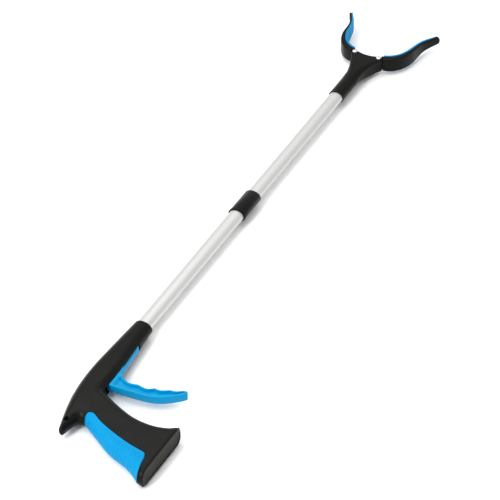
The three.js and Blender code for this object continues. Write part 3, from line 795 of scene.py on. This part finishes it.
def shaft():
    """The two oval tubes, the front cross pin and the collar over their joint."""
    for name, oval, (x_low, x_high), pin, node in [
        ("tube_lower", LOWER_OVAL, LOWER_TUBE_X, REAR_PIN, "lower_tube"),
        ("tube_upper", UPPER_OVAL, UPPER_TUBE_X, FRONT_PIN, "upper_tube"),
    ]:
        half_y, half_z = oval
        inner = grown(oval, -TUBE_WALL)
        tube = oval_tube(name, [
            (x_low, half_y - 0.3, half_z - 0.3), (x_low + 0.3, *oval), (x_high - 0.3, *oval),
            (x_high, half_y - 0.3, half_z - 0.3), (x_high, *inner), (x_low, *inner),
        ])
        combine(tube, [bore_through("pin_hole", pin, TUBE_PIN_RADIUS + 0.3)], "DIFFERENCE")
        finish_piece(tube, "frame", "tube_aluminium", node)
    finish_piece(post("tube_pin", FRONT_PIN, TUBE_PIN_RADIUS, -5.6, 5.6), "frame", "steel", "tube_pin_front")
    half_y, half_z = COLLAR_OVAL
    low, high = COLLAR_X
    lip = 0.4
    bore = grown(LOWER_OVAL, 0.2)
    collar = oval_tube("shaft_collar", [
        (low, half_y - 0.3, half_z - 0.3), (low + 0.3, half_y + lip - 0.1, half_z + lip - 0.1),
        (low + 0.7, half_y + lip, half_z + lip), (low + 3.2, half_y + lip, half_z + lip),
        (low + 3.8, half_y, half_z), (high - 0.8, half_y, half_z), (high - 0.2, half_y - 0.3, half_z - 0.3),
        (high, half_y - 0.8, half_z - 0.6), (high, *bore), (low, *bore),
    ])
    finish_piece(collar, "frame", "black_plastic", "mid_collar")


# ---------------------------------------------------------------- head

def head_rounding(x, y):
    """Full oval along the neck, narrowing to a crisp edge on the flat fork plate."""
    return lerp(NECK_OVAL[0], 2.0, np.clip((np.asarray(x, float) - 500) / 44, 0, 1))


def head_shell(side):
    """One half of the head: a neck that widens into a flat fork plate, hollow for tube and levers."""
    flank = catmull([(512, NECK_OVAL[0] - 0.6), (521, 9.8), (531, 12.6), (540, 15.9), (546.4, 19.4)])
    half = chain([
        [(NECK_X, NECK_OVAL[0]), (502, NECK_OVAL[0])],
        catmull([(502, NECK_OVAL[0]), (508, 9.1), (512, 8.8)]),
        flank,
        catmull([
            (546.4, 19.4), (549, 20.2), (551.4, 18.9), (552.2, 16), (551.2, 11.5), (549.6, 5), (549.3, 0),
        ]),
    ], 0.9)
    whole = np.vstack([half, mirror_y(half)[1:]])
    rear = resample([whole[-1], whole[0]], 1.2)[1:-1]
    boundary = np.vstack([whole, rear])
    rounded_side = np.vstack([(NECK_X - 12, NECK_OVAL[0]), whole, (NECK_X - 12, -NECK_OVAL[0])])
    points, faces, depth = fill(boundary, [rounded_side], ROUND_ROWS, head_rounding, (1.8, 1.8))
    x, y = points.T
    height = lerp(NECK_OVAL[1], HEAD_HALF_Z, smooth(x, 500, 530))
    drop = lerp(NECK_OVAL[1], 1.6, smooth(x, 500, 540))
    top = rounded(depth, head_rounding(x, y), height, drop)
    place_name = "top" if side > 0 else "bottom"
    shell = between(f"head_plate_{place_name}", points, faces, top, np.full(len(top), SEAM))
    if side < 0:
        mirror_piece(shell, 2)
    room = np.array([
        (516, 5.4), (521, 7.4), (531, 10.6), (540.7, 14.8), (547.9, 19.6), (548.7, 30), (565, 30),
    ])
    combine(shell, [
        prism("room", np.vstack([room, mirror_y(room)]), -HEAD_ROOM_HALF_Z, HEAD_ROOM_HALF_Z),
        oval_bar("neck_bore", grown(UPPER_OVAL, TUBE_FIT), (NECK_X - 1, UPPER_TUBE_X[1] + 0.3)),
        oval_bar("neck_room", (7.6, 6.0), (496, 527.5)),
        bore_through("rivet_bore_a", JAW_PIVOT, RIVET_RADIUS + 0.2),
        bore_through("rivet_bore_b", (JAW_PIVOT[0], -JAW_PIVOT[1]), RIVET_RADIUS + 0.2),
    ], "DIFFERENCE")
    return finish_piece(shell, "frame", "black_plastic", f"head_shell_{place_name}")


def pivot_rivet(side, name):
    """A jaw's rivet, domed at both ends."""
    seat, radius = HEAD_HALF_Z + 0.1, 3.0
    angles = np.radians(range(90, -1, -15))
    dome = [(radius * math.cos(a), seat + 0.25 + 1.15 * math.sin(a)) for a in angles]
    upper = [*dome, (radius, seat), (RIVET_RADIUS, seat)]
    profile = upper + [(r, -z) for r, z in reversed(upper)]
    rivet = turned_part(f"rivet_{name}", profile, (JAW_PIVOT[0], side * JAW_PIVOT[1]), 48)
    return finish_piece(rivet, "frame", "steel", f"pivot_rivet_{name}")


# ---------------------------------------------------------------- jaws

JAW_LINE = catmull([
    (553.2, 14.6), (555, 22), (559, 29.3), (566.5, 36.3), (578, 41.4), (591, 43.8), (602, 46), (612, 50.2),
    (621.6, 55.4),
], 24)


def jaw_half_z(x):
    return lerp(JAW_HALF_Z[0], JAW_HALF_Z[1], smooth(x, 574, 626))


def blade_limits(s):
    """Inner and outer offset of the blade, thickest in its bend."""
    return 0, (2.7 + 4.4 * (1 - smooth(s, 0, 0.75))) * lerp(0.78, 1, smooth(s, 0.03, 0.2))


def lining_limits(s):
    """Inner and outer offset of the soft lining, which thins towards the tip."""
    return -0.15 - LINING_THICKNESS * lerp(1, 0.6, smooth(s, 0.8, 1)), -0.05


def jaw_frames(start, end, count):
    """Stations along the jaw line: share, point, outward normal and direction."""
    line = resample(JAW_LINE, 0.25)
    along = np.linspace(0, 1, len(line))
    direction = directions(line)
    for share in np.linspace(start, end, count):
        point = np.array([np.interp(share, along, line[:, k]) for k in (0, 1)])
        tangent = np.array([np.interp(share, along, direction[:, k]) for k in (0, 1)])
        tangent /= np.linalg.norm(tangent)
        yield share, point, np.array([-tangent[1], tangent[0]]), tangent


def bar_section(inner, outer, half_z, inner_round, outer_round, steps=5):
    """(offset, z) points of a rounded rectangle between two offsets, with its own radius at each side."""
    outline = []
    for offset, radius, sign, turn in [
        (outer, outer_round, -1, 0), (inner, inner_round, 1, 90), (inner, inner_round, 1, 180),
        (outer, outer_round, -1, 270),
    ]:
        top = 1 if turn < 180 else -1
        centre = (offset + sign * radius, top * (half_z - radius))
        for angle in np.radians(turn + np.linspace(0, 90, steps + 1)):
            outline.append((centre[0] + radius * math.cos(angle), centre[1] + radius * math.sin(angle)))
    return outline


def jaw_loft(name, start, limits, rounds, half_z_less=0.0, count=60):
    """A bar along the jaw line. Its side view ends in a half circle at the tip."""
    rings = []
    for share, point, normal, tangent in jaw_frames(start, 1, count):
        inner, outer = limits(share)
        section = bar_section(inner, outer, jaw_half_z(point[0]) - half_z_less, *rounds)
        rings.append([(*(point + normal * o), z) for o, z in section])
    half_z = jaw_half_z(point[0]) - half_z_less
    middle = (inner + outer) / 2
    for angle in np.radians([15, 30, 45, 58, 70, 80, 86]):
        narrow, ahead = math.cos(angle), 0.8 * half_z * math.sin(angle)
        thin = 1 - 0.75 * (1 - narrow) ** 2
        centre = point + tangent * ahead + normal * middle
        rings.append([(*(centre + normal * (o - middle) * thin), z * narrow) for o, z in section])
    return loft(name, rings)


def lever_outline():
    """The short lever inside the head, from the pivot to the peg."""
    heading = math.degrees(math.atan2(PEG[1] - JAW_PIVOT[1], PEG[0] - JAW_PIVOT[0]))
    return np.vstack([
        arc(JAW_PIVOT, 3.6, heading + 90, heading + 270),
        arc(PEG, 2.3, heading - 90, heading + 90),
    ])


def root_room():
    """The space round the pivot that the head's fork plates need while the jaw turns."""
    reach = [
        (-75, 5.6), (-20, 4.6), (10, 4.4), (32, 4.8), (50, 5.3), (68, 5.5), (125, 5.5), (150, 6), (285, 5.6),
    ]
    angles = np.radians(np.arange(-75, 285, 5))
    radius = np.interp(np.degrees(angles), *zip(*reach))
    return np.c_[JAW_PIVOT[0] + radius * np.cos(angles), JAW_PIVOT[1] + radius * np.sin(angles)]


def jaw(side, name):
    """A jaw's blade with its knuckle and lever, and the soft lining on its inner side."""
    blade = jaw_loft(f"jaw_blade_{name}", 0.03, blade_limits, (0.3, 1.3))
    combine(blade, [prism("root_room", root_room(), -THROUGH, THROUGH)], "DIFFERENCE")
    knuckle_half_z = HEAD_ROOM_HALF_Z - 0.4
    bridge = [
        (548.7, 17.5), (549.3, 23.9), (552, 28), (557, 28), (556.2, 22), (554.2, 16), (552.4, 12.8),
        (548.7, 12),
    ]
    combine(blade, [
        prism("bridge", bridge, -knuckle_half_z, knuckle_half_z),
        post("knuckle", JAW_PIVOT, 3.7, -knuckle_half_z, knuckle_half_z),
        prism("lever", lever_outline(), -3, 3),
    ], "UNION")
    combine(blade, [
        bore_through("rivet_bore", JAW_PIVOT, RIVET_RADIUS + 0.3),
        bore_through("peg_bore", PEG, 1.6),
    ], "DIFFERENCE")
    lining = jaw_loft(f"jaw_lining_{name}", 0.06, lining_limits, (0.6, 0.3), half_z_less=-0.3)
    for piece, slot_name, node in [(blade, "black_plastic", "jaw"), (lining, "blue_rubber", "jaw_pad")]:
        if side < 0:
            mirror_piece(piece, 1)
        finish_piece(piece, f"jaw_{name}_body", slot_name, f"{node}_{name}")


# ---------------------------------------------------------------- return spring

def return_spring():
    """A coil between the washer and the yoke, as long as the CAD spring."""
    low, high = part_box("return_spring")
    x_low, x_high = ((corner.x - ORIGIN.x) * 1000 for corner in (low, high))
    turns, radius, wire, per_turn = 6, 3.6, 0.5, 36
    rings = []
    for step in range(turns * per_turn + 1):
        angle = 2 * math.pi * step / per_turn
        x = lerp(x_low + wire, x_high - wire, step / (turns * per_turn))
        out = np.array([0, math.cos(angle), math.sin(angle)])
        centre = np.array([x, 0, 0]) + out * radius
        rings.append([
            centre + wire * (math.cos(t) * out + math.sin(t) * np.array([1, 0, 0]))
            for t in np.linspace(0, 2 * math.pi, 12, endpoint=False)
        ])
    spring = shade(loft("coil_spring", rings))
    spring.data.materials.append(STEEL)
    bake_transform(spring)
    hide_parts("return_spring")


# ---------------------------------------------------------------- the tool

finish_piece(grip_pad(), "frame", "blue_rubber", "grip_pad")
handle_shell(1)
handle_shell(-1)
handle_screws()
base_cap()
trigger()
shaft()
head_shell(1)
head_shell(-1)
for jaw_side, jaw_name in ((1, "left"), (-1, "right")):
    jaw(jaw_side, jaw_name)
    pivot_rivet(jaw_side, jaw_name)
return_spring()

slot_of = {entry["node"]: entry["material_slot"] for entry in frame["record"]["subparts"]}
for node_name, node in frame["nodes"].items():
    node.data.materials.clear()
    node.data.materials.append(SLOTS[slot_of[node_name]])

# ---------------------------------------------------------------- floor, light and camera

def floor():
    mesh = bpy.data.meshes.new("floor")
    corners = [(-6, -6, 0), (6, -6, 0), (6, 6, 0), (-6, 6, 0)]
    mesh.from_pydata(corners, [], [(0, 1, 2, 3)])
    piece = make_object("floor", mesh)
    paint = procedural("floor_paint", (0.93, 0.93, 0.93), 0.9, grain=60, depth=0.02, worn=0.995)
    mesh.materials.append(paint)
    piece.location.z = -0.0005


def softbox(name, location, target, size, power):
    light = bpy.data.lights.new(name, "AREA")
    light.shape = "RECTANGLE"
    light.size, light.size_y = size
    light.energy = power
    piece = bpy.data.objects.new(name, light)
    piece.location = location
    piece.rotation_euler = (Vector(target) - Vector(location)).to_track_quat("-Z", "Y").to_euler()
    bpy.context.scene.collection.objects.link(piece)


def camera():
    """A distant, long-lens view from behind the grip, looking along the tool and down at its side."""
    azimuth, elevation, roll = (math.radians(angle) for angle in (27.84, 38.3, 0.85))
    heading = Vector((math.cos(azimuth), math.sin(azimuth), 0))
    forward = heading * math.cos(elevation) - Vector((0, 0, math.sin(elevation)))
    level = Vector((math.sin(azimuth), -math.cos(azimuth), 0))
    steep = forward.cross(level)
    right = level * math.cos(roll) + steep * math.sin(roll)
    down = steep * math.cos(roll) - level * math.sin(roll)
    lens = bpy.data.cameras.new("camera")
    lens.sensor_width = 36
    lens.lens = 294.2
    lens.clip_end = 50
    view = bpy.data.objects.new("camera", lens)
    basis = Matrix((right, -down, -forward)).transposed().to_4x4()
    view.matrix_world = Matrix.Translation(place((-2951.7, -1690.8, 2788.5))) @ basis
    bpy.context.scene.collection.objects.link(view)
    bpy.context.scene.camera = view


def world():
    sky = bpy.data.worlds.new("studio")
    sky.use_nodes = True
    background = sky.node_tree.nodes["Background"]
    background.inputs["Color"].default_value = (1, 1, 1, 1)
    background.inputs["Strength"].default_value = 0.82
    bpy.context.scene.world = sky


floor()
softbox("overhead", (0.1, 0.5, 2.2), (0, 0, 0), (2.8, 2.4), 40)
softbox("strip", (-1.6, 0.3, 1.1), (-0.2, 0, 0), (0.3, 1.4), 22)
camera()
world()
bpy.context.scene.view_settings.view_transform = "Standard"
